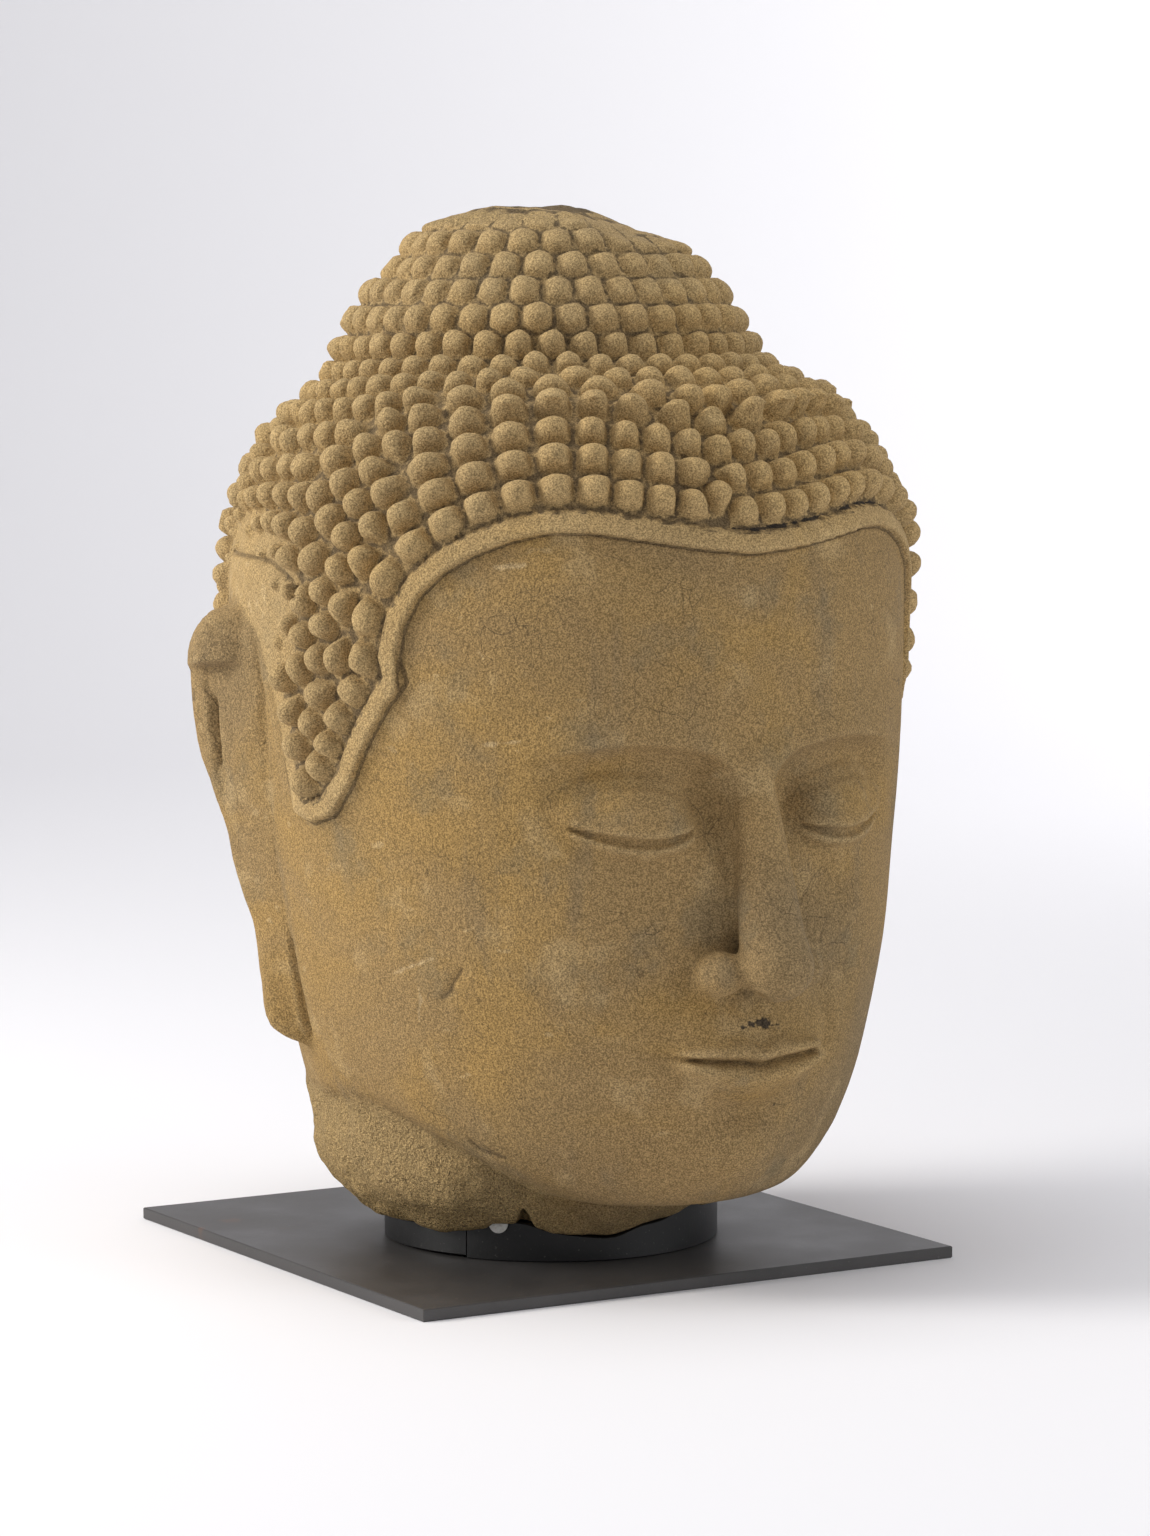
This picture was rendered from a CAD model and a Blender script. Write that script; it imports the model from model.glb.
# Dresses the stone head, its steel collar and its base plate for rendering.
# Lengths in the dictionaries are millimetres; everything in the scene is metres.
import math
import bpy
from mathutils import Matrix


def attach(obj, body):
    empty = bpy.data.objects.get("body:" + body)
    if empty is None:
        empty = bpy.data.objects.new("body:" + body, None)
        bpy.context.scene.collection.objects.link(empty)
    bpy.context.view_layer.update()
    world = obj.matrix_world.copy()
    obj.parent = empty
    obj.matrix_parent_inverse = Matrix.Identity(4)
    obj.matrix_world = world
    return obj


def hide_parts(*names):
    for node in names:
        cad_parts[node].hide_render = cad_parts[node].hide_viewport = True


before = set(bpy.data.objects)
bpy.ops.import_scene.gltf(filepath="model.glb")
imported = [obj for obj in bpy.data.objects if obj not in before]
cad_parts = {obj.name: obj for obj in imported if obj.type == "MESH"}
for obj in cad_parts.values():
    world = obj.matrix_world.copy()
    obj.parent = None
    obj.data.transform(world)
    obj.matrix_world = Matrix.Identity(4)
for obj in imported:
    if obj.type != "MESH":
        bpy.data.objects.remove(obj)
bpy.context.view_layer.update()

from concurrent.futures import ThreadPoolExecutor
import bpy
import numpy as np
import openvdb
from mathutils import Vector

mm = 0.001
seeds = np.random.default_rng(41)
print("frame loaded:", ", ".join(sorted(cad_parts)))


# curves and blends
def smoothStep(low, high, value):
    t = np.clip((value - low) / (high - low), 0, 1)
    return t * t * (3 - 2 * t)


def bell(away, width):
    return np.exp(-(away / width) ** 2)


def softMax(a, b, reach):
    overlap = np.maximum(0, reach - np.abs(a - b)) / reach
    return np.maximum(a, b) + overlap * overlap * reach / 4


def softMin(a, b, reach):
    return -softMax(-a, -b, reach)


def scatter(i, k):  # repeatable value from 0 to 1 for a pair of numbers
    s = math.sin(i * 12.9898 + k * 78.233) * 43758.5453
    return s - math.floor(s)


def curveOver(rows, column):  # smooth curve through rows of [position, values...], as a table
    rows = np.array(rows, float)
    at, value = rows[:, 0], rows[:, column]
    slope = np.empty(len(at))
    slope[1:-1] = (value[2:] - value[:-2]) / (at[2:] - at[:-2])
    slope[0] = (value[1] - value[0]) / (at[1] - at[0])
    slope[-1] = (value[-1] - value[-2]) / (at[-1] - at[-2])
    fine = np.arange(at[0], at[-1] + 0.25, 0.5)
    i = np.clip(np.searchsorted(at, fine) - 1, 0, len(at) - 2)
    span = at[i + 1] - at[i]
    t = np.clip((fine - at[i]) / span, 0, 1)
    t2, t3 = t * t, t * t * t
    table = ((2 * t3 - 3 * t2 + 1) * value[i] + (t3 - 2 * t2 + t) * span * slope[i]
             + (3 * t2 - 2 * t3) * value[i + 1] + (t3 - t2) * span * slope[i + 1])
    return lambda z: np.interp(z, fine, table)


head = {
    "voxel": 1.8,  # spacing of the samples the surface is drawn from
    "quickVoxel": 1.6,
    "block": 6,  # samples along the coarse blocks that find the surface
    "sampledFrom": (-262.0, -334.0, 12.0),
    "sampledSpan": (524, 590, 702),
    "outside": 30.0,  # value of the form well away from its surface
    "triangles": 192000,
    "axis": -35,  # y of the skull's axis
    "bumpAxis": -9,
    "bumpRise": (560, 600),  # heights between which the axis moves over
    "crown": (585, 625),  # heights between which the curls turn to those of the bump
    # height, half width, reach to the front, reach to the back
    "stations": [
        [40, 116, 176, 135], [70, 134, 200, 158], [105, 158, 217, 174], [160, 180, 227, 190],
        [240, 198, 229, 214], [320, 209, 230, 231], [400, 213, 232, 238], [455, 212, 230, 237],
        [495, 205, 218, 228], [530, 188, 198, 211], [560, 162, 169, 183], [585, 135, 137, 143],
        [620, 115, 117, 120], [650, 91, 93, 95], [680, 64, 64, 66], [700, 40, 40, 41]],
    "frontSquareness": 2.12, "backSquareness": 2,
    "jawFront": 56, "jawSide": 108,
    "jawTurn": (0.35, 1.5),  # turned from the front, in radians, where it climbs
    "jawRounding": 24,
    "neckCentre": -12,
    "neckFoot": 118,  # radius of the broken neck where it stands on the collar
    "neckOverhang": 6,
    "overhangTowards": math.radians(155),  # the right rear
    "flankSlope": 1.15, "flankFoot": 29,
    "flankThinning": 0.66,  # turns the slope's own measure into distance
    "neckRadius": 154,
    "neckSlimmer": 22,  # so much less in front
    "neckFlare": 0.12, "neckFlareFrom": 60,
    "neckTop": 230, "neckBlend": 12, "neckBreakRounding": 5,
    "topBreakHeight": 693, "topBreakRadius": 68, "topBreakDrop": 9,
    "topBreakFall": 8,  # towards the left front
}
crownEdge = head["topBreakHeight"] - head["topBreakDrop"]  # height of the rim of the broken top
hair = {
    "bed": 3.5,  # the grooves between curls stand this far off the skin
    "crownBed": 5,  # and so much further on the bump
    "curlHeight": 14,
    "stripHeight": 3,
    "rowPitch": 20.6,
    "rows": 30,
    "apart": 0.8,  # a new curl stands at least this many pitches off the others
    "openGap": 0.86,  # and a gap wider than this is filled
    "archedRows": 5,  # rows that follow the hairline before they turn level
    "pitch": 20.6, "crownPitch": 19.8, "lean": 0.14,
    "settling": 8,  # rounds in which neighbours push each other apart
    "push": 0.35,
    "settled": 1.02,  # row pitches that neighbours settle at
    "bandWidth": 13.5, "bandHeight": 7, "bandEdge": 0.7,
    "step": 1.7,  # the thin lower step of the band and where it starts
    "stepEdge": (-4.9, -4.0),
    "behindEar": (89, 93),  # degrees where the band turns into a flat strip
    "overEar": (81, 84),
    "stripEdge": (-14.5, -12.5),
    "unrolled": 222,  # radius the head is unrolled at
    # lower edge of the band: degrees from the face's middle, height
    "line": [
        [0, 473], [10, 477], [18, 482], [27, 487], [33, 487], [39, 482], [45, 473], [50, 462],
        [54, 448], [57, 429], [58.3, 409], [56.8, 393], [60.2, 379], [64.5, 356], [69, 326], [74, 306],
        [80, 299.5], [84.5, 304], [87, 322], [89, 360], [92, 388], [96, 413], [103, 432],
        [112, 444], [121, 430], [127, 395], [131, 350], [136, 310], [144, 278], [158, 256], [180, 246]],
}
dome = {  # how a curl swells; each "luck" is taken times its own value from 0 to 1
    "spread": 2.28, "spreadLuck": 0.14, "crownSpread": 0.2,
    "height": 0.86, "heightLuck": 0.2, "crownHeight": 0.06,
    "fullLuck": 0.22, "crownFull": 0.4,
    "sunk": 2,
    "scale": 10,  # turns the swelling's own measure into rough distance
    "wornShare": 0.16, "wornTop": 0.84, "wornTilt": 0.1,
}
face = {
    # height, then middle and reach across, middle and reach up
    "mounds": [
        [5, 102, 44, 236, 46], [9, 0, 62, 162, 36], [10, 0, 36, 92, 23], [-5, 0, 44, 121, 9]],
    "socketCorner": [-8, 34, 13, 320, 20],
    "fade": (-60, -130),  # y between which the relief comes in
    "brow": 344, "browArch": 15, "browSpan": 150, "browDip": 20, "browRidge": 4.5,
    "socket": 9,
    "eye": 312, "eyeCentre": 77, "eyeHalfWidth": 39, "slit": 4.5, "creaseHalfWidth": 46,
    "ball": 16, "ballHalfWidth": 47, "ballHalfHeight": 28,
    "mouth": 157, "mouthHalfWidth": 58,
    "upperLip": 10, "upperLipHeight": 17, "lowerLip": 11.5, "lowerLipHeight": 22,
    "philtrum": 2.6,
    "noseFold": 2.5, "noseRadii": (12, 22), "noseBlend": 8,
    "noseRoot": (0, -262, 340),
    "noseTip": (0, -290, 219),
    "noseWing": (29, -271, 214),
    "noseBall": (0, -297, 219),
    "nostril": (14, -287, 199),
}
ear = {
    "inside": 120,  # no ear nearer the middle than this
    "clearAbove": 450,
    "lobe": (232, 205),  # heights between which it turns into the lobe
    "stump": (392, 397),  # and into the broken block
    "rim": (300, 338),
    "slot": 0.22, "slotFoot": (322, 334), "slotTop": (378, 366),
    "fold": 6,
    # height, y of the front edge, y of the back edge, lift there
    "stations": [
        [146, -3, 6, 8], [158, -6, 20, 20], [190, -7, 27, 17], [215, -7, 30, 15],
        [245, -8, 36, 20], [285, -9, 46, 23], [315, -9, 57, 28], [345, -8, 64, 33],
        [400, -6, 66, 34], [424, 0, 56, 24], [434, 12, 40, 8]],
}
damage = {  # lines of [degrees, height] on the head
    "wornPatch": [[-112, 452], [-101, 448], [-95, 436]],
    "crack": [[-118, 467], [-106, 466], [-98, 465.5], [-92, 464], [-88, 459], [-83, 451], [-79, 443]],
    "crackDepth": 3.2,
    "splits": [
        [[-48.5, 214], [-50, 207], [-51, 200], [-53, 194]], [[-51, 100], [-49, 94], [-43, 90]]],
    "splitDepth": 2.2,
    "scrapes": [
        [[-58, 201], [-57.5, 193], [-58.5, 185], [-58.5, 177]], [[-66.5, 203], [-60, 212], [-54, 220]],
        [[-44, 356], [-37.5, 359]], [[-45, 465], [-37, 467]], [[-44.5, 415], [-43.5, 409]]],
    "scrapeDepth": 0.8,
    "earChip": (397, math.radians(-116.5)),
    "grit": 2.6, "lump": 2.2, "lumpLength": 34,
}
collar = {
    "centre": (0, -16),
    "outer": 112, "wall": 6, "ease": 0.5, "segments": 240,
    "joint": math.radians(-150),
    "jointGap": 0.8,
    "endRise": 1.6,
    "gap": 0.3,
    "foot": 8,
    # the break's height around the collar: degrees from +X, height
    "line": [[-196, 24.5], [-170, 27], [-154, 27.5], [-143, 32.5], [-130, 33.5], [-121, 28.5],
             [-111, 25.2], [-99, 23.5], [-89, 29], [-80, 31], [-67, 37.5], [-55, 39.5], [-20, 37],
             [40, 30], [100, 27], [164, 24.5]],
    "notch": math.radians(-128.3),  # a chip out of the stone's lower edge
    "notchHalfWidth": 6.5, "notchHeight": 15, "notchDepth": 9,
    "skirt": 3.5,  # how far the stone hangs down beside the collar
}

collarX, collarY = collar["centre"]
halfWidth, frontReach, backReach = [curveOver(head["stations"], k) for k in (1, 2, 3)]
earFront, earBack, earFull = [curveOver(ear["stations"], k) for k in (1, 2, 3)]
breakCurve = curveOver(collar["line"], 1)


def axisAt(z):
    return head["axis"] + (head["bumpAxis"] - head["axis"]) * smoothStep(*head["bumpRise"], z)


def skinReach(angle, z):
    front = np.cos(angle) > 0
    power = np.where(front, head["frontSquareness"], head["backSquareness"])
    wide = np.abs(np.sin(angle)) / halfWidth(z)
    deep = np.abs(np.cos(angle)) / np.where(front, frontReach(z), backReach(z))
    return (wide ** power + deep ** power) ** (-1 / power)


def skinPoint(angle, z):
    reach = skinReach(angle, z)
    return np.stack([reach * np.sin(angle), axisAt(z) - reach * np.cos(angle), z + 0 * reach], -1)


class Chart:  # values over angle and height, looked up between its samples
    def __init__(self, values, angleStep, low, heightStep):
        self.values = np.ascontiguousarray(values, dtype=np.float32)
        self.angleStep, self.low, self.heightStep = angleStep, low, heightStep

    def at(self, angle, z):
        rows, columns = self.values.shape
        u = np.clip(np.abs(angle) / self.angleStep, 0, rows - 1.001).astype(np.float32)
        v = np.clip((z - self.low) / self.heightStep, 0, columns - 1.001).astype(np.float32)
        i, k = u.astype(np.int32), v.astype(np.int32)
        s, t = u - i, v - k
        flat, spot = self.values.ravel(), i * columns + k
        near = flat[spot] * (1 - t) + flat[spot + 1] * t
        return near + (flat[spot + columns] * (1 - t) + flat[spot + columns + 1] * t - near) * s


turnStep, lowest, rise = 0.75, -30.0, 1.5  # degrees and heights the skin is worked out at
skinAngles = np.radians(np.arange(0, 181, turnStep))[:, None]
skinHeights = np.arange(lowest, 760, rise)[None, :]
reaches = skinReach(skinAngles, skinHeights)
slopes = (np.gradient(reaches, rise, axis=1)
          - np.cos(skinAngles) * np.gradient(axisAt(skinHeights), rise, axis=1))
reachChart, nearChart = [Chart(values, math.radians(turnStep), lowest, rise)
                         for values in (reaches, 1 / np.hypot(1, slopes))]


def skinAt(x, y, z):
    axis = axisAt(z)
    angle = np.arctan2(x, axis - y)
    return (np.hypot(x, y - axis) - reachChart.at(angle, z)) * nearChart.at(angle, z), angle


def moundAt(x, z, height, across, reachAcross, up, reachUp):
    return height * bell(x - across, reachAcross) * bell(z - up, reachUp)


def eyeRelief(lift, x, z):
    dx = x - face["eyeCentre"]
    level = face["eye"] + 0.05 * dx
    across = 1 - (dx / face["eyeHalfWidth"]) ** 2
    inEye = smoothStep(0, 0.16, across)
    wide, high = dx / face["ballHalfWidth"], (z - level) / face["ballHalfHeight"]
    lift += face["ball"] * np.clip(1 - wide ** 2 - high ** 2, 0, 1)
    lidEdge = level - 7 - 5.5 * across
    slit = lidEdge - 1.5 - 5 * across
    onLid = smoothStep(lidEdge - 0.8, lidEdge + 0.8, z)
    lift += 1.8 * inEye * onLid * smoothStep(lidEdge + 9, lidEdge + 3, z)
    underLid = smoothStep(lidEdge + 0.7, lidEdge - 0.7, z)
    lift -= face["slit"] * inEye * underLid * smoothStep(slit - 1.2, slit + 1.2, z)
    lift += 1.6 * inEye * bell(z - slit + 3, 2.6)
    inCrease = 1 - (dx / face["creaseHalfWidth"]) ** 2
    crease = level + 4 + 15 * np.clip(inCrease, 0, 1) ** 0.8
    lift -= 1.8 * bell(z - crease, 1.9) * smoothStep(0, 0.2, inCrease)
    return lift


def mouthRelief(lift, x, z):
    half = face["mouthHalfWidth"]
    m = np.clip(1 - (x / half) ** 2, 0, 1)
    mouthLine = face["mouth"] + 5 * (x / half) ** 2 - 1.8 * bell(x, 10)
    upperEdge = mouthLine + face["upperLipHeight"] * m ** 0.75 - 2.5 * bell(x, 6)
    lowerEdge = mouthLine - face["lowerLipHeight"] * m ** 0.65
    upper = np.clip((z - mouthLine) / np.maximum(1, upperEdge - mouthLine), 0, 1)
    lower = np.clip((mouthLine - z) / np.maximum(1, mouthLine - lowerEdge), 0, 1)
    fade = smoothStep(0, 0.4, m)
    for lip, share in ((face["upperLip"], upper), (face["lowerLip"], lower)):
        lift += lip * fade * np.maximum(0, np.sin(math.pi * share ** 0.85)) ** 0.8
    lift += 2 * fade * (bell(z - upperEdge - 1, 1.9) + bell(z - lowerEdge + 1, 2.1))
    lift -= 3.5 * bell(x, 34) * bell(z - lowerEdge + 9, 6)  # hollow under the lower lip
    lift -= 3 * smoothStep(0, 0.2, m) * bell(z - mouthLine, 2)
    lift -= 3.5 * bell(x - half - 3, 7) * bell(z - face["mouth"] - 5, 8)  # corner of the mouth
    return lift


def faceRelief(x, y, z):  # height of the carving over the plain front of the head
    x = np.abs(x)
    lift = 0
    for mound in face["mounds"]:
        lift = lift + moundAt(x, z, *mound)
    browAcross = np.clip((x - 2) / face["browSpan"], 0, 1)
    browLine = (face["brow"] + face["browArch"] * np.sin(math.pi * browAcross)
                - face["browDip"] * bell(x, 18))
    below = browLine - z
    lift += (face["browRidge"] * smoothStep(-26, -2, below) * smoothStep(7, 0, below)
             * smoothStep(150, 112, x))
    lift -= (face["socket"] * smoothStep(0, 16, below) * smoothStep(74, 34, below)
             * smoothStep(132, 100, x) * smoothStep(8, 24, x))
    lift += moundAt(x, z, *face["socketCorner"])
    lift = mouthRelief(eyeRelief(lift, x, z), x, z)
    lift -= face["philtrum"] * bell(x, 5.5) * smoothStep(174, 182, z) * smoothStep(208, 198, z)
    fromNose = x - 52 - 0.4 * (203 - z)
    lift -= face["noseFold"] * bell(fromNose, 7) * smoothStep(158, 176, z) * smoothStep(226, 204, z)
    return lift * smoothStep(*face["fade"], y)


def taperedRod(x, y, z, a, b, radiusA, radiusB):
    a, b = np.array(a, float), np.array(b, float)
    ab = b - a
    t = np.clip(((x - a[0]) * ab[0] + (y - a[1]) * ab[1] + (z - a[2]) * ab[2]) / (ab @ ab), 0, 1)
    away = np.sqrt((x - a[0] - t * ab[0]) ** 2 + (y - a[1] - t * ab[1]) ** 2 + (z - a[2] - t * ab[2]) ** 2)
    return away - (radiusA + (radiusB - radiusA) * t)


def egg(x, y, z, middle, radii):
    away = np.sqrt(sum(((p - m) / r) ** 2 for p, m, r in zip((x, y, z), middle, radii)))
    return (away - 1) * min(radii)


def noseAt(x, y, z):
    x = np.abs(x)
    bridge = taperedRod(x, y, z, face["noseRoot"], face["noseTip"], *face["noseRadii"])
    form = softMin(bridge, egg(x, y, z, face["noseWing"], (15, 19, 14)), 7)
    form = softMin(form, egg(x, y, z, face["noseBall"], (17, 16, 16)), 12)
    return softMax(form, -egg(x, y, z, face["nostril"], (7, 11, 6)), 4)


def earLift(x, y, z):  # what is left of the ear: stump, rim, hollow and lobe
    low, high = ear["stations"][0][0], ear["stations"][-1][0]
    frontEdge, backEdge = earFront(z), earBack(z)
    ends = smoothStep(low - 5, low + 4, z) * smoothStep(high + 4, high - 5, z)
    t = (y - frontEdge) / (backEdge - frontEdge)  # 0 at the front edge, 1 at the back
    lobe = smoothStep(*ear["lobe"], z)
    stump = smoothStep(*ear["stump"], z + 9 * (t - 0.6)) * smoothStep(0.12, 0.3, t)
    edge = 0.7 + 0.1 * smoothStep(350, 310, z) + 0.012 * np.sin(z / 5)
    rim = smoothStep(*ear["rim"], z) * smoothStep(-0.02, 0.03, t - edge)
    slope = 0.06 + 0.8 * np.clip(t, 0, 1) + 0.1 * rim
    slot = ear["slot"] * bell(t - edge + 0.045, 0.03)
    slope -= slot * smoothStep(*ear["slotFoot"], z) * smoothStep(*ear["slotTop"], z)
    slope += 0.03 * np.sin(z / 7 + 5 * t) * np.sin(11 * t) * smoothStep(240, 280, z) * (1 - rim)
    block = 0.22 + 0.76 * smoothStep(0.02, 0.62, t) - 0.05 * bell(t - 0.7, 0.02)
    lobeShape = 0.2 + 0.8 * smoothStep(0, 0.75, t)
    shape = slope * (1 - np.maximum(lobe, stump)) + block * stump + lobeShape * lobe
    walls = smoothStep(-0.04, 0.06, t) * smoothStep(1.16, 0.94, t)
    lift = earFull(z) * shape * walls * ends
    lift -= ear["fold"] * bell(t + 0.04, 0.045) * smoothStep(230, 200, z) * smoothStep(148, 158, z)
    lift -= 2 * bell(t + 0.03, 0.035) * smoothStep(330, 345, z) * smoothStep(420, 400, z)
    return lift * (np.abs(x) > ear["inside"])


def jawHeight(turn):  # the underside climbs from the chin to below the ear
    return head["jawFront"] + (head["jawSide"] - head["jawFront"]) * smoothStep(*head["jawTurn"], turn)


def collarBearing(x, y):
    return np.arctan2(y - collarY, x - collarX)


def breakHeight(angle):
    low = collar["line"][0][0]
    return breakCurve(low + np.mod(np.degrees(angle) - low, 360))


def lumps(x, y, z, length, seed):
    w = 2 * math.pi / length
    return (np.sin(w * (x + 0.6 * y) + seed) + np.sin(w * (y * 1.1 - 0.7 * z) + 2.1 * seed)
            + np.sin(w * (z * 0.9 + 0.8 * x) + 3.7 * seed)) / 3


# the hairline, unrolled to a flat map
lineUnrolled = np.array([[math.radians(turn) * hair["unrolled"], height] for turn, height in hair["line"]])


def lineDistance(u, z, spots):
    nearest = 1e9
    for (au, az), (bu, bz) in zip(spots[:-1], spots[1:]):
        square = (bu - au) ** 2 + (bz - az) ** 2
        t = np.clip(((u - au) * (bu - au) + (z - az) * (bz - az)) / square, 0, 1)
        nearest = np.minimum(nearest, np.hypot(u - au - t * (bu - au), z - az - t * (bz - az)))
    return nearest


def nearLine(line, angle, z):  # distance over the head to a line of [degrees, height]
    spots = [(math.radians(turn) * hair["unrolled"], height) for turn, height in line]
    return lineDistance(angle * hair["unrolled"], z, spots)


def insideHair(u, z):  # distance from the hairline, positive on the hair's side
    u = np.abs(u)
    nearest = lineDistance(u, z, lineUnrolled)
    return np.where(z > np.interp(u, lineUnrolled[:, 0], lineUnrolled[:, 1]), nearest, -nearest)


insetSteps = (0.007, 180, 1.5)  # radians between columns, lowest height, height between rows
insetAngles = np.arange(0, math.pi + 0.01, insetSteps[0])[:, None]
insetHeights = np.arange(insetSteps[1], 725, insetSteps[2])[None, :]
insetChart = Chart(insideHair(insetAngles * hair["unrolled"], insetHeights), *insetSteps)


def hairLift(inset, turn, z):  # the band, the thin step below it and the bed the curls stand on
    wide, edge = hair["bandWidth"], hair["bandEdge"]
    degrees = np.degrees(turn)
    besideEar = smoothStep(306, 326, z) * smoothStep(440, 430, z)
    behind = np.maximum(smoothStep(*hair["behindEar"], degrees),
                        smoothStep(*hair["overEar"], degrees) * besideEar)
    step = hair["step"] * smoothStep(*hair["stepEdge"], inset) * (1 - behind)
    crown = hair["bandHeight"] * (1 - 0.12 * ((inset - wide / 2) / (wide / 2)) ** 4)
    band = crown * smoothStep(-edge, edge, inset) * smoothStep(wide + 1.4, wide + 0.2, inset) * (1 - behind)
    strip = hair["stripHeight"] * behind * smoothStep(*hair["stripEdge"], inset)
    strip -= 1.8 * behind * bell(inset + 14, 1.5)  # line along the strip's lower edge
    strip -= 1.3 * (1 - behind) * bell(inset + 0.9, 1.1)  # line below the band
    bed = hair["bed"] * smoothStep(wide - 1, wide + 2.5, inset)
    fillet = np.maximum(step * (inset < wide), np.where((inset > -1) & (inset < wide + 1.5), band, 0))
    return np.maximum(fillet + strip * (inset < wide + 1), bed)


def stoneField(x, y, z):  # negative inside the stone, near true distance at its surface
    skin, angle = skinAt(x, y, z)
    turn = np.abs(angle)
    form = skin.copy()
    front = y < face["fade"][0] + 2
    form[front] -= faceRelief(x[front], y[front], z[front])
    beside = (np.abs(x) > ear["inside"]) & (z < ear["clearAbove"])
    form[beside] -= earLift(x[beside], y[beside], z[beside])
    form = softMax(form, jawHeight(turn) - z, head["jawRounding"])
    form = softMin(form, noseAt(x, y, z), face["noseBlend"])
    away = np.hypot(x, y - head["neckCentre"])
    slimmer = head["neckSlimmer"] * (1 - smoothStep(0.5, 1.2, turn))
    neck = away - (head["neckRadius"] - slimmer + head["neckFlare"] * (z - head["neckFlareFrom"]))
    towards = np.cos(collarBearing(x, y) - head["overhangTowards"])
    foot = head["neckFoot"] + head["neckOverhang"] * towards
    flank = np.hypot(x, y - collarY) - foot - head["flankSlope"] * (z - head["flankFoot"])
    neck = softMax(neck, flank * head["flankThinning"], 12)
    neck = softMax(neck, z - head["neckTop"], 80)
    form = softMin(form, neck, head["neckBlend"])
    return form, away, insetChart.at(angle, z), angle


def cutBreaks(form, x, y, z, away, grit, turn):
    jaw = jawHeight(turn)
    broken = smoothStep(jaw + 14, jaw - 2, z) * smoothStep(0.35, 0.75, turn)
    broken = np.maximum(broken, smoothStep(52, 44, z) * smoothStep(150, 142, away))
    rough = (damage["lump"] * lumps(x, y, z, damage["lumpLength"], 0.4) + damage["grit"] * grit) * broken
    bearing = collarBearing(x, y)
    out = np.hypot(x - collarX, y - collarY) - collar["outer"]
    ragged = np.sin(7 * bearing + 1.7) + 0.6 * np.sin(17 * bearing)
    skirt = collar["skirt"] * smoothStep(0.8, 3, out) * smoothStep(-0.2, 0.6, ragged)
    cut = breakHeight(bearing) + collar["gap"] + 0.2 - skirt
    form = softMax(form + rough, cut - z, head["neckBreakRounding"])
    aside = np.abs(bearing - collar["notch"]) * collar["outer"]
    wedge = collar["notchHalfWidth"] * (1 - (z - cut) / collar["notchHeight"]) - aside
    form = np.maximum(form, np.minimum(wedge, out + collar["notchDepth"]))
    top = head["topBreakHeight"] - head["topBreakDrop"] * (
        np.hypot(x, y - head["bumpAxis"]) / head["topBreakRadius"]) ** 2
    across = 0.86 * x - 0.51 * (y - head["bumpAxis"])  # towards the left front
    top = top - head["topBreakFall"] * smoothStep(15, 62, across) + 1.5 * smoothStep(0, -40, across)
    return softMax(form, z - top - 1.2 * lumps(x, y, z, 70, 1.3) + 2.2 * grit, 5)


# where each curl stands
def heightDown(angle, distance):
    z = np.arange(crownEdge, 200, -2.0)
    path = skinPoint(angle, z)
    travelled = np.concatenate([[0], np.cumsum(np.linalg.norm(np.diff(path, axis=0), axis=1))])
    return float(np.interp(distance, travelled, z))


def footUnder(point):  # angle, height and skin point below a point near the head
    z = float(point[2])
    angle = math.atan2(point[0], float(axisAt(z)) - point[1])
    return angle, z, skinPoint(angle, z)


def columnsFromHairline(spacing, distances):  # walks over the skin, square to the hairline
    before = np.vstack([lineUnrolled[:1] * [-1, 1], lineUnrolled[:-1]])
    after = np.vstack([lineUnrolled[1:], lineUnrolled[-1:]])
    normals = np.stack([before[:, 1] - after[:, 1], after[:, 0] - before[:, 0]], -1)
    normals /= np.linalg.norm(normals, axis=1)[:, None]
    lengths = np.concatenate([[0], np.cumsum(np.linalg.norm(np.diff(lineUnrolled, axis=0), axis=1))])
    stride = 2.0
    columns = []
    for travelled in np.arange(0, lengths[-1], spacing):
        u, z = [float(np.interp(travelled, lengths, lineUnrolled[:, k])) for k in (0, 1)]
        nu, nz = [float(np.interp(travelled, lengths, normals[:, k])) for k in (0, 1)]
        point = skinPoint(u / hair["unrolled"], z)
        ahead = skinPoint((u + nu) / hair["unrolled"], z + nz) - point
        ahead /= np.linalg.norm(ahead)
        column, walked = [], 0.0
        for distance in distances:
            while walked < distance:
                onward = footUnder(point + ahead * stride)[2]
                ahead = (onward - point) / np.linalg.norm(onward - point)
                point = onward
                walked += stride
            column.append(point)
        columns.append(column)
    return columns


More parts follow.
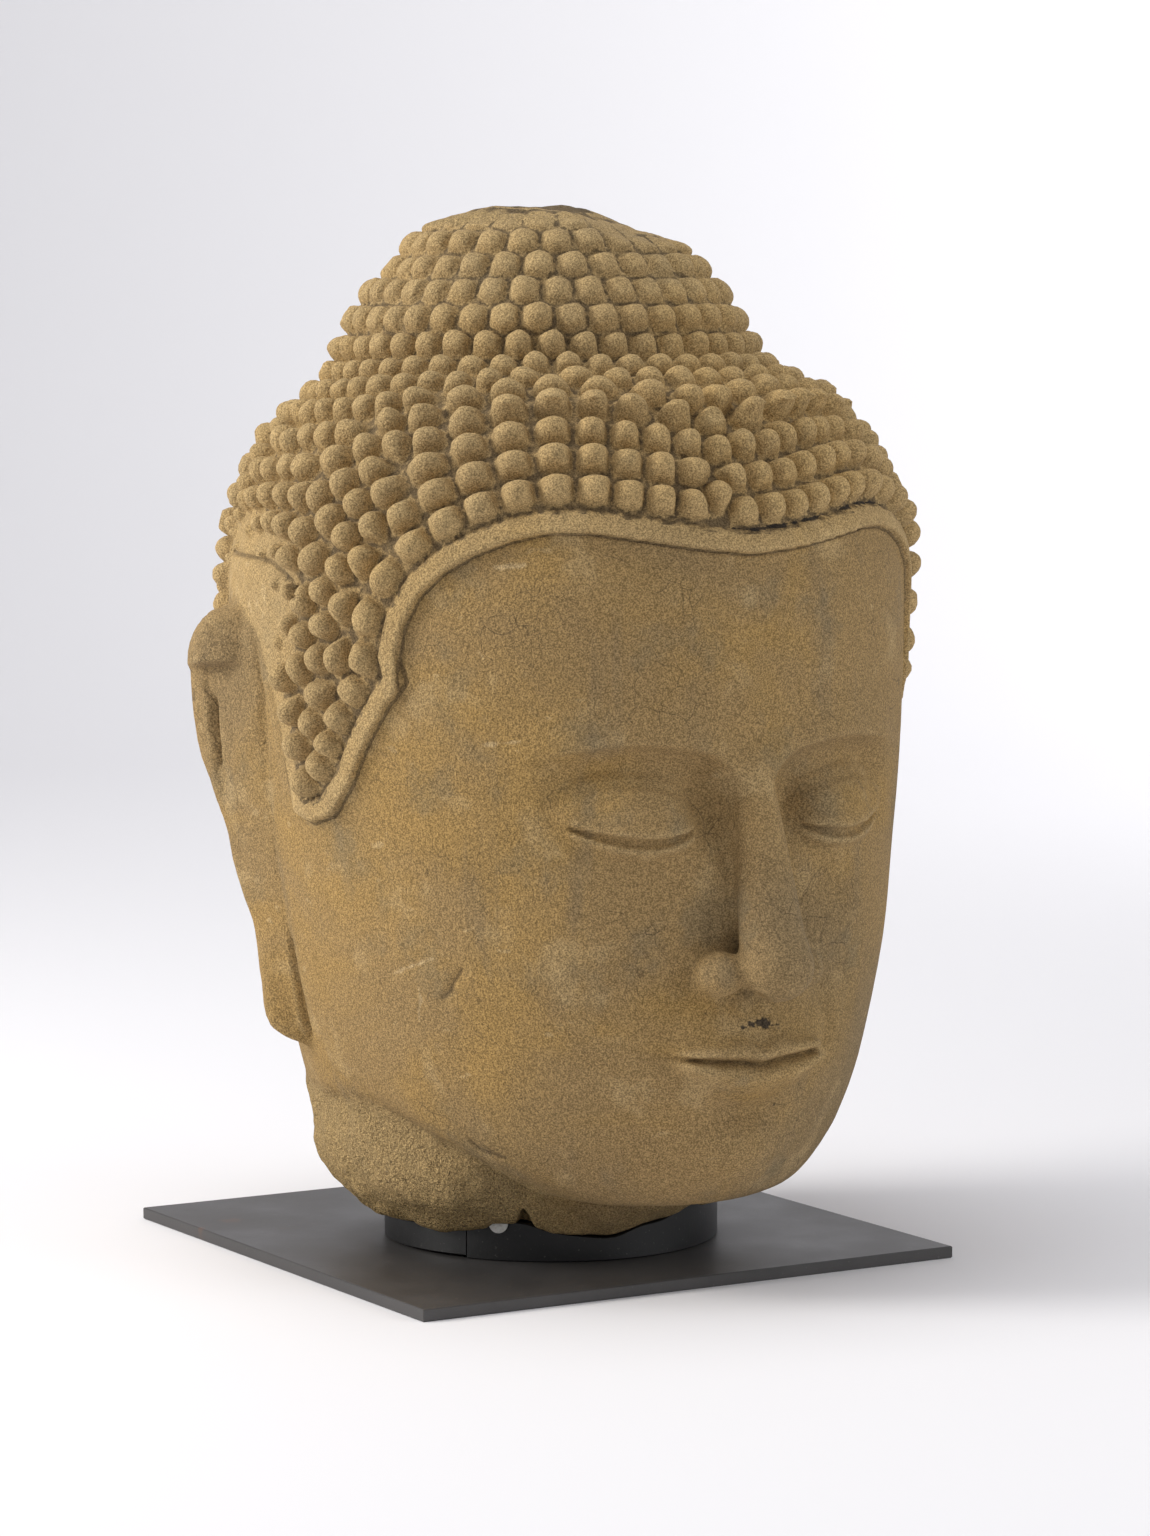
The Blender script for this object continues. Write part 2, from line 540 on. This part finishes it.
def layCurls():
    firstRow = hair["bandWidth"] + 1.5 + 0.5 * hair["rowPitch"]
    highest = crownEdge - 6
    feet = []

    def addIfClear(point, spacing):
        angle, z, foot = footUnder(point)
        inset = float(insideHair(angle * hair["unrolled"], z))
        if inset < firstRow - 3 or z > highest:
            return
        if not feet or np.linalg.norm(np.array(feet) - foot, axis=1).min() > spacing:
            feet.append(foot)

    distances = [firstRow + hair["rowPitch"] * k for k in range(hair["archedRows"])]
    columns = columnsFromHairline(hair["pitch"], distances)
    fixed = 0
    for row in range(hair["archedRows"]):
        for column in columns:
            for side in (1, -1):
                addIfClear(column[row] * [side, 1, 1], hair["apart"] * hair["pitch"])
        fixed = fixed or len(feet)  # the first row stays beside the band
    for row in range(hair["rows"]):
        distance = (row + 0.5) * hair["rowPitch"]
        wider = float(smoothStep(60, 200, distance))
        pitch = hair["crownPitch"] + (hair["pitch"] - hair["crownPitch"]) * wider
        count = round(2 * math.pi * float(skinReach(1.0, heightDown(1, distance))) / pitch)
        for i in range(count):
            angle = ((i + hair["lean"] * row) / count) * 2 * math.pi
            turned = math.atan2(math.sin(angle), math.cos(angle))
            z = heightDown(turned, distance)
            addIfClear(skinPoint(turned, z), hair["apart"] * pitch)
    feet = np.array(feet)
    spots = np.array([skinPoint(angle, z) for z in np.arange(240, 690, 4.0)
                      for angle in np.arange(-math.pi, math.pi, 5 / float(skinReach(1.0, z)))
                      if float(insetChart.at(angle, z)) > firstRow - 2 and z < highest])
    away = np.full(len(spots), 1e9)
    for foot in feet:
        away = np.minimum(away, np.linalg.norm(spots - foot, axis=1))
    while away.max() > hair["openGap"] * hair["crownPitch"]:  # fills what the rows left open
        foot = spots[away.argmax()]
        feet = np.vstack([feet, foot])
        away = np.minimum(away, np.linalg.norm(spots - foot, axis=1))
    for _ in range(hair["settling"]):  # and lets the curls settle beside each other
        apart = feet[:, None] - feet[None]
        gap = np.linalg.norm(apart, axis=2) + np.eye(len(feet)) * 1e3
        squeezed = np.clip(hair["settled"] * hair["rowPitch"] - gap, 0, None)
        push = (apart / gap[..., None] * squeezed[..., None]).sum(1)
        push[:fixed] = 0
        feet = np.array([footUnder(point)[2] for point in feet + hair["push"] * push])
    return feet


def markCells(shape, start, voxel, feet, ghosts):  # nearest curl and the way to it and to the next
    reach, far = 25, 60
    first = np.full(shape, far, np.float32)
    second = np.full(shape, far, np.float32)
    owner = np.full(shape, -1, np.int16)
    for number, foot in enumerate(np.vstack([feet, ghosts])):
        angle, z, _ = footUnder(foot)
        right, left = [skinPoint(angle + turn, z) for turn in (0.01, -0.01)]
        above, below = [skinPoint(angle, z + up) for up in (2.0, -2.0)]
        ahead, rise = right - left, above - below
        out = np.cross(ahead, rise)
        out /= np.linalg.norm(out)
        lo = np.maximum(np.floor((foot - reach - start) / voxel).astype(int), 0)
        hi = np.minimum(np.ceil((foot + reach - start) / voxel).astype(int), shape)
        part = tuple(slice(a, b) for a, b in zip(lo, hi))
        dx, dy, dz = np.meshgrid(*[(start[k] + voxel * np.arange(lo[k], hi[k]) - foot[k]).astype(np.float32)
                                   for k in range(3)], indexing="ij", sparse=True)
        height = dx * np.float32(out[0]) + dy * np.float32(out[1]) + dz * np.float32(out[2])
        away = np.sqrt(np.maximum(dx * dx + dy * dy + dz * dz - height * height, 0))
        nearest = first[part]
        second[part] = np.minimum(second[part], np.maximum(nearest, away))
        owner[part] = np.where(away < nearest, -1 if number >= len(feet) else number, owner[part])
        first[part] = np.minimum(nearest, away)
    return first, second, owner


def domes(form, first, second, owner, z):
    luck = np.array([[scatter(n, k) for k in range(4)] for n in range(owner.max() + 2)], np.float32)
    mine = luck[owner]
    crown = smoothStep(*head["crown"], z)
    wide = dome["spread"] - dome["crownSpread"] * crown + dome["spreadLuck"] * mine[:, 1]
    spread = wide * first / (first + second)
    tall = dome["height"] + dome["heightLuck"] * mine[:, 0] - dome["crownHeight"] * crown
    height = hair["bed"] + hair["curlHeight"] * tall - dome["sunk"]
    w = np.maximum(form - dome["sunk"], 0) / height
    around = spread * spread
    full = dome["fullLuck"] * mine[:, 1] + dome["crownFull"] * crown
    swell = (1 - full) * np.sqrt(around + w * w) + full * np.sqrt(np.sqrt(around * around + w ** 4))
    swell = (swell - 1) * dome["scale"]
    worn = mine[:, 2] < dome["wornShare"]
    flat = (w - dome["wornTop"] - dome["wornTilt"] * mine[:, 3] * spread) * height
    return np.where(owner < 0, head["outside"], np.where(worn, np.maximum(swell, flat), swell))


# sampling the form and drawing its surface
def noiseOver(shape, cell):  # smooth noise from about -1 to 1 over a box of samples
    values = seeds.uniform(-2.2, 2.2, [int(n / cell) + 5 for n in shape]).astype(np.float32)
    for axis, n in enumerate(shape):
        t = np.arange(n) / cell
        low = t.astype(int)
        t = (t - low).astype(np.float32)
        weights = [(1 - t) ** 3 / 6, (3 * t ** 3 - 6 * t ** 2 + 4) / 6,
                   (-3 * t ** 3 + 3 * t ** 2 + 3 * t + 1) / 6, t ** 3 / 6]
        along = [1, 1, 1]
        along[axis] = n
        total = 0
        for k, weight in enumerate(weights):
            total = total + np.take(values, low + k, axis) * weight.reshape(along)
        values = total
    return values


def sampleHead():
    voxel = head["voxel"] * 1
    block = head["block"]
    start = np.array(head["sampledFrom"])
    size = [int(round(span / voxel / block)) * block for span in head["sampledSpan"]]
    sparse = [start[k] + voxel * block * (np.arange(size[k] // block) + 0.5) for k in range(3)]
    x, y, z = np.meshgrid(*sparse, indexing="ij")
    rough, away, inset, angle = stoneField(x, y, z)
    turn = np.abs(angle)
    rough = cutBreaks(rough - hairLift(inset, turn, z), x, y, z, away, 0, turn)

    def toSamples(values):
        return np.repeat(np.repeat(np.repeat(values, block, 0), block, 1), block, 2)

    field = toSamples(np.sign(rough) * head["outside"]).astype(np.float32)
    spots = np.nonzero(toSamples((rough > -15) & (rough < 25)))
    x, y, z = [(start[k] + voxel * spots[k]).astype(np.float32) for k in range(3)]
    print("stone sampled at", len(x), "points")
    cuts = [slice(i, i + 100000) for i in range(0, len(x), 100000)]
    with ThreadPoolExecutor(4) as crew:
        parts = list(crew.map(lambda cut: stoneField(x[cut], y[cut], z[cut]), cuts))
    form, away, inset, angle = [
        np.concatenate([part[k] for part in parts]).astype(np.float32) for k in range(4)]
    turn = np.abs(angle)
    feet = layCurls()
    ghosts = [column[0] for column in columnsFromHairline(8, [3.0])]  # hold the curls off the band
    ghosts = np.array(ghosts + [g * [-1, 1, 1] for g in ghosts])
    print("curls laid:", len(feet))
    first, second, owner = [layer[spots] for layer in markCells(field.shape, start, voxel, feet, ghosts)]
    haired = inset > 10
    curled = np.full(len(form), head["outside"], np.float32)
    curled[haired] = domes(form[haired], first[haired], second[haired], owner[haired], z[haired])
    fromWorn = nearLine(damage["wornPatch"], angle, z)
    worn = np.maximum(smoothStep(26, 10, fromWorn), 0.35 * smoothStep(60, 30, fromWorn))
    curled = curled + 15 * worn
    plain = form - hairLift(inset, turn, z) - hair["stripHeight"] * worn * 0.6
    plain = plain - hair["crownBed"] * smoothStep(*head["crown"], z)
    form = softMin(plain, curled, 1.0)
    form = form + damage["crackDepth"] * bell(nearLine(damage["crack"], angle, z), 1.5)
    for lines, depth, reach in (("splits", "splitDepth", 1.8), ("scrapes", "scrapeDepth", 2.2)):
        for line in damage[lines]:
            form = form + damage[depth] * bell(nearLine(line, angle, z), reach)
    coarse, fine = [noiseOver(size, length / voxel) for length in (9, 4.5)]
    grit = (0.5 * coarse + 0.3 * fine)[spots]
    wave = noiseOver(size, 30 / voxel)[spots]
    form = form + 0.2 * grit + 0.4 * wave
    field[spots] = cutBreaks(form, x, y, z, away, grit, turn)
    border = np.zeros(field.shape, np.float32)
    border[spots] = np.where(haired, 2 * first / (first + second), 0) * (worn < 0.3)
    return field, border, start, voxel


def linked(name, data):
    made = bpy.data.objects.new(name, data)
    bpy.context.scene.collection.objects.link(made)
    return made


def meshFrom(name, points, quads):
    mesh = bpy.data.meshes.new(name)
    mesh.vertices.add(len(points))
    mesh.vertices.foreach_set("co", points.astype(np.float32).ravel())
    mesh.loops.add(quads.size)
    mesh.loops.foreach_set("vertex_index", quads.astype(np.int32).ravel())
    mesh.polygons.add(len(quads))
    mesh.polygons.foreach_set("loop_start", np.arange(0, quads.size, quads.shape[1], dtype=np.int32))
    mesh.update(calc_edges=True)
    return mesh


def thinned(mesh, triangles):
    scratch = linked("scratch", mesh)
    fewer = scratch.modifiers.new("fewer", "DECIMATE")
    fewer.ratio = min(1, triangles / (2 * len(mesh.polygons)))
    fewer.use_collapse_triangulate = True
    bpy.context.view_layer.update()
    done = bpy.data.meshes.new_from_object(scratch.evaluated_get(bpy.context.evaluated_depsgraph_get()))
    bpy.data.objects.remove(scratch)
    bpy.data.meshes.remove(mesh)
    return done


def placed(name, mesh, material):
    piece = linked(name, mesh)
    mesh.materials.append(material)
    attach(piece, "root")
    return piece


def fieldAt(field, start, voxel, points):  # nearest sample of the form
    spots = np.rint((points - start) / voxel).astype(int)
    spots = np.clip(spots, 0, np.array(field.shape) - 1)
    return field[spots[:, 0], spots[:, 1], spots[:, 2]]


def hollowness(field, start, voxel, points, reach):  # above 0 in grooves, below 0 on ridges
    one = (-1, 0, 1)
    ring = np.array([[a, b, c] for a in one for b in one for c in one if a or b or c], float)
    ring /= np.linalg.norm(ring, axis=1)[:, None]
    total = np.zeros(len(points))
    for direction in ring:
        total += np.clip(fieldAt(field, start, voxel, points + reach * direction), -reach, reach)
    return -total / (len(ring) * reach)


# shader maths
class Wire:  # a node's socket, used in ordinary arithmetic
    def __init__(self, finish, socket):
        self.finish = finish
        self.socket = socket

    def maths(self, operation, first, second):
        return self.finish.node("ShaderNodeMath", {"operation": operation}, {0: first, 1: second})

    def __add__(self, other):
        return self.maths("ADD", self, other)

    def __sub__(self, other):
        return self.maths("SUBTRACT", self, other)

    def __rsub__(self, other):
        return self.maths("SUBTRACT", other, self)

    def __mul__(self, other):
        return self.maths("MULTIPLY", self, other)


class Finish:  # a material while it is being made
    def __init__(self, name):
        self.material = bpy.data.materials.new(name)
        self.material.use_nodes = True
        self.nodes = self.material.node_tree.nodes
        self.links = self.material.node_tree.links
        self.nodes.clear()
        self.place = self.node("ShaderNodeTexCoord", out="Object")

    def node(self, kind, settings=None, values=None, out=0):
        made = self.nodes.new(kind)
        for name, setting in (settings or {}).items():
            setattr(made, name, setting)
        for key, value in (values or {}).items():
            self.feed(made.inputs[key], value)
        return None if out is None else Wire(self, made.outputs[out])

    def feed(self, socket, value):
        if isinstance(value, Wire):
            self.links.new(value.socket, socket)
        else:
            socket.default_value = value

    def noise(self, scale, detail=3, rough=0.55, place=None, distortion=0.0):
        return self.node("ShaderNodeTexNoise", None, {"Vector": place or self.place, "Scale": scale,
                         "Detail": detail, "Roughness": rough, "Distortion": distortion}, out="Fac")

    def cellEdges(self, scale, place):  # distance to the edges of scattered cells
        return self.node("ShaderNodeTexVoronoi", {"feature": "DISTANCE_TO_EDGE"},
                         {"Vector": place, "Scale": scale}, out="Distance")

    def step(self, value, low, high):
        return self.node("ShaderNodeMapRange", {"interpolation_type": "SMOOTHSTEP"},
                         {"Value": value, "From Min": low, "From Max": high}, out="Result")

    def blend(self, amount, first, second, mode="MIX"):
        made = self.node("ShaderNodeMix", {"data_type": "RGBA", "blend_type": mode}, None, out=2)
        node = made.socket.node
        for socket, value in ((node.inputs[0], amount), (node.inputs[6], first), (node.inputs[7], second)):
            self.feed(socket, value if isinstance(value, (Wire, float)) else (*value, 1))
        return made

    def painted(self, name):
        return self.node("ShaderNodeAttribute", {"attribute_name": name}, None, out="Fac")

    def bump(self, height, distance, strength=1.0, under=None):
        values = {"Height": height, "Distance": distance, "Strength": strength}
        if under:
            values["Normal"] = under
        return self.node("ShaderNodeBump", None, values, out="Normal")

    def close(self, colour, roughness, normal, **fixed):
        values = {"Base Color": colour, "Roughness": roughness, "Normal": normal}
        values.update({name.replace("_", " "): value for name, value in fixed.items()})
        shader = self.node("ShaderNodeBsdfPrincipled", None, values, out="BSDF")
        self.node("ShaderNodeOutputMaterial", None, {"Surface": shader}, out=None)
        return self.material


stoneLook = {
    "body": (0.300, 0.198, 0.085),
    "pale": (0.44, 0.316, 0.155),
    "lock": (0.50, 0.350, 0.160),
    "fresh": (0.56, 0.42, 0.23),
    "ochre": (0.340, 0.215, 0.076),
    "grey": (0.175, 0.135, 0.082),
    "stain": (0.150, 0.135, 0.092),
    "grime": (0.060, 0.043, 0.028),
    "black": (0.016, 0.016, 0.018),
    # scale, detail and roughness of the noise, from, to, share, colour, drawn out upright or not
    "blotches": [
        [3.4, 2, 0.5, 0.42, 0.66, 0.6, "grey", False], [1.0, 3, 0.6, 0.55, 0.75, 0.45, "grey", True],
        [15, 4, 0.65, 0.54, 0.68, 0.3, "stain", False], [24, 3, 0.55, 0.56, 0.72, 0.45, "pale", False]],
    "upright": (30, 30, 5),
    "grain": 1000,
    "grit": 430,
    "crazing": 48,  # cells of the cracks, and of the finer ones
    "fineCrazing": 120,
    "crackBend": 0.022,
    "roughness": 0.94,
}


def sandstone():
    f = Finish("sandstone")
    look = stoneLook
    sand = f.noise(look["grain"], 1, 0.6)
    grit = f.noise(look["grit"], 2, 0.6)
    raw, smooth, inset = [f.painted(name) for name in ("broken", "smooth", "inset")]
    colour = f.blend(f.step(f.noise(8, 3, 0.62, distortion=0.5), 0.4, 0.66), look["body"], look["ochre"])
    upright = f.node("ShaderNodeMapping", None, {"Vector": f.place, "Scale": look["upright"]})
    for scale, detail, rough, low, high, share, tone, drawn in look["blotches"]:
        patch = f.step(f.noise(scale, detail, rough, upright if drawn else None), low, high)
        colour = f.blend(patch * share, colour, look[tone])
    haired = f.step(inset, -1.0, 3.0)
    deep = f.step(f.painted("groove"), 0.16, 0.6) * (haired * 0.55 + 0.25)
    between = f.step(f.painted("border") + (f.noise(180, 2) - 0.5) * 0.16, 0.86, 0.98)
    seam = inset + (f.noise(70, 2) - 0.5) * 1.0
    line = f.step(seam, -1.9, -1.1) * f.step(seam, 0.1, -0.5) * (1 - f.painted("behind"))
    scraped = f.step(f.painted("scraped") + (f.noise(110, 3) - 0.5) * 1.6, 0.4, 0.95)
    pits = f.step(f.noise(260, 2, 0.6), 0.64, 0.72) * raw

    # fine cracks where the surface has crazed, and short pale scratches
    bend = f.node("ShaderNodeTexNoise", None, {"Vector": f.place, "Scale": 38.0, "Detail": 1.0}, out="Color")
    bend = f.node("ShaderNodeVectorMath", {"operation": "SCALE"}, {0: bend, "Scale": look["crackBend"]})
    bent = f.node("ShaderNodeVectorMath", {"operation": "ADD"}, {0: f.place, 1: bend})
    cracks = f.step(f.cellEdges(look["crazing"], bent), 0.016, 0.004) * f.step(f.noise(13, 2), 0.52, 0.62)
    fine = f.step(f.cellEdges(look["fineCrazing"], bent), 0.03, 0.008) * f.step(f.noise(17, 2), 0.54, 0.62)
    slanted = f.node("ShaderNodeMapping", None, {
        "Vector": f.place, "Rotation": (0.5, 0.3, 0.9), "Scale": (14, 60, 95)})
    scratches = f.step(f.noise(1.0, 2, 0.5, slanted), 0.69, 0.76)
    residue = f.step(f.painted("residue") + (f.noise(60, 3, 0.7) - 0.5) * 2.0, 0.52, 0.64)

    layers = [
        (f.step(f.painted("ridge"), 0.02, 0.4) * 0.4, "pale"), (raw * 0.7, "lock"), (deep, "grime"),
        (haired * 0.45, "lock"), (between * 0.75, "grime"), (line * 0.5, "grime"), (scraped * 0.5, "fresh"),
        (f.step(f.painted("split"), 0.5, 0.95) * 0.5, "grime"), (pits * 0.6, "grime"),
        (cracks * smooth * 0.55, "grime"), (fine * smooth * 0.4, "grime"),
        (scratches * smooth * 0.55, "pale"), (residue * 0.85, "black")]
    for amount, tone in layers:
        colour = f.blend(amount, colour, look[tone])
    for grains, share, dark, light in ((sand, 0.7, 0.42, 1.5), (grit, 0.8, 0.86, 1.13)):
        shade = f.blend(f.step(grains, 0.3, 0.7), (dark, dark, dark), (light, light, light))
        colour = f.blend(share, colour, shade, "MULTIPLY")
    bump = f.bump(grit, 0.0016, 0.7)
    bump = f.bump(f.noise(240, 3, 0.75) * raw, 0.007, 1.0, bump)
    bump = f.bump(line, -0.0014, 0.8, bump)
    return f.close(colour, look["roughness"], bump, Specular_IOR_Level=0.2)


def blackPaint(name, colour, roughness, rust=0.0):
    f = Finish(name)
    dust = f.step(f.noise(420, 2), 0.66, 0.74)
    cloud = f.noise(14, 4)
    tint = f.blend(f.step(cloud, 0.35, 0.75) * 0.5, colour, tuple(1.7 * c for c in colour))
    tint = f.blend(dust * 0.12, tint, (0.4, 0.38, 0.34))
    if rust:
        bloom = f.step(f.noise(5, 3), 0.62, 0.7) * f.step(f.noise(70, 3), 0.5, 0.62)
        tint = f.blend(bloom * rust, tint, (0.16, 0.075, 0.04))
    sheen = f.step(cloud, 0.2, 0.8) * 0.14 + roughness
    return f.close(tint, sheen, f.bump(f.noise(900, 2), 0.0003, 0.35), Specular_IOR_Level=0.5)


def whitePutty():
    f = Finish("whitePutty")
    colour = f.blend(f.step(f.noise(300, 3), 0.4, 0.75), (0.78, 0.77, 0.73), (0.55, 0.52, 0.46))
    return f.close(colour, 0.85, f.bump(f.noise(500, 3), 0.0006, 0.6))


# the pieces
def patina(corners):  # where the stone is smooth, broken, scraped or split, or holds black residue
    x, y, z = corners.T
    _, angle = skinAt(x, y, z)
    inset = insetChart.at(angle, z)
    turn = np.abs(angle)
    jaw, top = jawHeight(turn), head["topBreakHeight"]
    broken = np.maximum(smoothStep(jaw + 12, jaw, z) * smoothStep(0.4, 0.7, turn), smoothStep(50, 44, z))
    broken = np.maximum(broken, smoothStep(top - 14, top - 9, z))
    flank = smoothStep(0.35, 0.8, turn) * (turn < 2.6)
    nearLips = bell(z - 180, 9) * smoothStep(64, 40, np.abs(x))
    nearLips = nearLips + 0.75 * bell(z - 126, 6) * bell(np.abs(x) - 34, 20)
    overBand = bell(inset - hair["bandWidth"] - 1.2, 1.6) * smoothStep(-0.25, 0.1, angle) * (turn < 1.2)
    scraped = sum(bell(nearLine(scrape, angle, z), 2.2) for scrape in damage["scrapes"])
    chipHeight, chipAngle = damage["earChip"]
    onEar = np.hypot(x, y - head["axis"]) > 218
    chip = bell(z - chipHeight, 6) * bell(angle - chipAngle, 0.035) * onEar
    worn = smoothStep(26, 12, nearLine(damage["wornPatch"], angle, z))
    return {
        "smooth": smoothStep(-4, -9, inset) * (1 - broken),
        "broken": broken * (0.35 + 0.65 * flank),
        "residue": np.maximum(0.5 * nearLips * (y < -200), 0.72 * overBand),
        "inset": np.clip(inset, -20, 20),
        "behind": smoothStep(86, 90, np.degrees(turn)),
        "split": sum(bell(nearLine(line, angle, z), 2.6) for line in damage["splits"] + [damage["crack"]]),
        "scraped": np.maximum(0.8 * scraped + chip, 0.45 * worn),
    }


def makeHead():
    field, border, start, voxel = sampleHead()
    grid = openvdb.FloatGrid(head["outside"])
    grid.copyFromArray(np.ascontiguousarray(field), tolerance=0.0)
    points, quads = grid.convertToQuads(isovalue=0.0)
    mesh = meshFrom("stone_head_carved", (points * voxel + start) * mm, quads[:, ::-1])
    print("stone drawn with", len(quads), "quads")
    mesh = thinned(mesh, head["triangles"])
    corners = np.empty(len(mesh.vertices) * 3, np.float32)
    mesh.vertices.foreach_get("co", corners)
    corners = corners.reshape(-1, 3) / mm
    groove = hollowness(field, start, voxel, corners, 5)
    painted = {"groove": np.clip(groove, 0, 1), "ridge": np.clip(-groove, 0, 1),
               "border": fieldAt(border, start, voxel, corners), **patina(corners)}
    for name, values in painted.items():
        layer = mesh.attributes.new(name, "FLOAT", "POINT")
        layer.data.foreach_set("value", np.ascontiguousarray(values, dtype=np.float32))
    mesh.shade_smooth()
    piece = placed("stone_head_carved", mesh, sandstone())
    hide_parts("stone_head")
    print("stone head:", len(mesh.polygons), "triangles")


def makeCollar():
    rings = []
    count = collar["segments"]
    outer, inner, ease = collar["outer"], collar["outer"] - collar["wall"], collar["ease"]
    half = collar["jointGap"] / 2 / outer
    for i in range(count + 1):
        angle = collar["joint"] + i / count * 2 * math.pi
        nudge = half if i == 0 else -half if i == count else 0
        low = collar["foot"] + collar["gap"] + collar["endRise"] * float(smoothStep(0.86, 1, i / count))
        top = float(breakHeight(angle))
        section = [(inner, low), (outer - ease, low), (outer, low + ease), (outer, top - ease),
                   (outer - ease, top), (inner, top)]
        right, back = math.cos(angle + nudge), math.sin(angle + nudge)
        rings.append([((r * right + collarX) * mm, (r * back + collarY) * mm, z * mm)
                      for r, z in section])
    points = np.array(rings).reshape(-1, 3)
    n = len(rings[0])
    faces = []
    for i in range(count):
        for k in range(n):
            a, b = n * i + k, n * i + (k + 1) % n
            faces.append((a, a + n, b + n, b))
    faces.append(tuple(range(n)))
    faces.append(tuple(reversed(range(n * count, n * count + n))))
    mesh = bpy.data.meshes.new("steel_collar_bent")
    mesh.from_pydata(points.tolist(), [], faces)
    mesh.update()
    piece = placed("steel_collar_bent", mesh, blackPaint("collarSteel", (0.0045, 0.0042, 0.0042), 0.4))
    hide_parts("steel_collar")


makeHead()
makeCollar()
finishes = {"base_plate": blackPaint("plateSteel", (0.046, 0.043, 0.042), 0.38, 0.6),
            "putty_dab": whitePutty()}
for name, finish in finishes.items():
    for node in [o for o in bpy.context.scene.objects if o.type == "MESH" and o.name.startswith(name)]:
        for slot in node.material_slots:
            slot.material = finish
print("pieces placed")


# the studio
studio = {
    "turn": math.radians(30.8),  # the camera stands this far round to the head's right of its face
    "tilt": math.radians(5.18),
    "camera": (-1.5694, -2.6804, 0.601),
    "lens": 108.96,
    "sweepBend": 2.5,
    "sweepBendStart": 3.5,
}


def paintStudio(name, colour):
    f = Finish(name)
    tint = f.blend(f.noise(2.0, 2), tuple(0.995 * c for c in colour), colour)
    return f.close(tint, 0.9, f.bump(f.noise(60), 0.0002, 0.05))


def makeSweep():
    turn = studio["turn"]
    ahead = Vector((math.sin(turn), math.cos(turn), 0))
    across = Vector((math.cos(turn), -math.sin(turn), 0))
    bend, start = studio["sweepBend"], studio["sweepBendStart"]
    profile = [(-7, 0)] + [(start + bend * math.sin(a), bend - bend * math.cos(a))
                           for a in np.linspace(0, math.pi / 2, 16)] + [(start + bend, 9)]
    points, faces = [], []
    for d, h in profile:
        for side in (-9, 9):
            points.append(ahead * d + across * side + Vector((0, 0, h)))
    for i in range(len(profile) - 1):
        faces.append((2 * i, 2 * i + 1, 2 * i + 3, 2 * i + 2))
    mesh = bpy.data.meshes.new("sweep")
    mesh.from_pydata(points, [], faces)
    mesh.shade_smooth()
    mesh.materials.append(paintStudio("paperSweep", (0.86, 0.85, 0.87)))
    linked("sweep", mesh)


def areaLight(name, place, target, size, power, colour=(1, 1, 1)):
    lamp = bpy.data.lights.new(name, "AREA")
    lamp.shape = "RECTANGLE"
    lamp.size, lamp.size_y = size
    lamp.energy = power
    lamp.color = colour
    light = linked(name, lamp)
    light.location = place
    light.rotation_euler = (Vector(target) - Vector(place)).to_track_quat("-Z", "Y").to_euler()


def fromCamera(ahead, across, height):  # a place in the studio, seen from the camera's direction
    sine, cosine = math.sin(studio["turn"]), math.cos(studio["turn"])
    return (sine * ahead + cosine * across, cosine * ahead - sine * across, height)


makeSweep()
middle = (0, -0.03, 0.35)
areaLight("keyLeft", fromCamera(-0.5, -2.7, 1.5), middle, (1.1, 1.4), 76, (1, 0.98, 0.94))
areaLight("fillRight", fromCamera(-1.2, 2.8, 1.2), middle, (1.6, 1.6), 28, (0.96, 0.98, 1))
areaLight("topSoft", fromCamera(-0.2, -0.5, 3.2), middle, (1.6, 1.6), 34)
areaLight("backdropRight", fromCamera(2.6, 3.0, 2.6), fromCamera(5.5, 1.5, 1.6), (2.0, 2.0), 120)
world = bpy.data.worlds.new("studioAir")
world.use_nodes = True
air = world.node_tree.nodes["Background"].inputs
air["Color"].default_value = (0.95, 0.96, 1, 1)
air["Strength"].default_value = 0.42
bpy.context.scene.world = world
bpy.context.scene.view_settings.view_transform = "Standard"

lens = bpy.data.cameras.new("studioCamera")
lens.lens = studio["lens"]
lens.sensor_width = 36
lens.clip_end = 60
camera = linked("studioCamera", lens)
turn, tilt = studio["turn"], studio["tilt"]
look = Vector((math.sin(turn) * math.cos(tilt), math.cos(turn) * math.cos(tilt), -math.sin(tilt)))
camera.location = studio["camera"]
camera.rotation_euler = look.to_track_quat("-Z", "Y").to_euler()
bpy.context.scene.camera = camera
print("camera and lights placed")
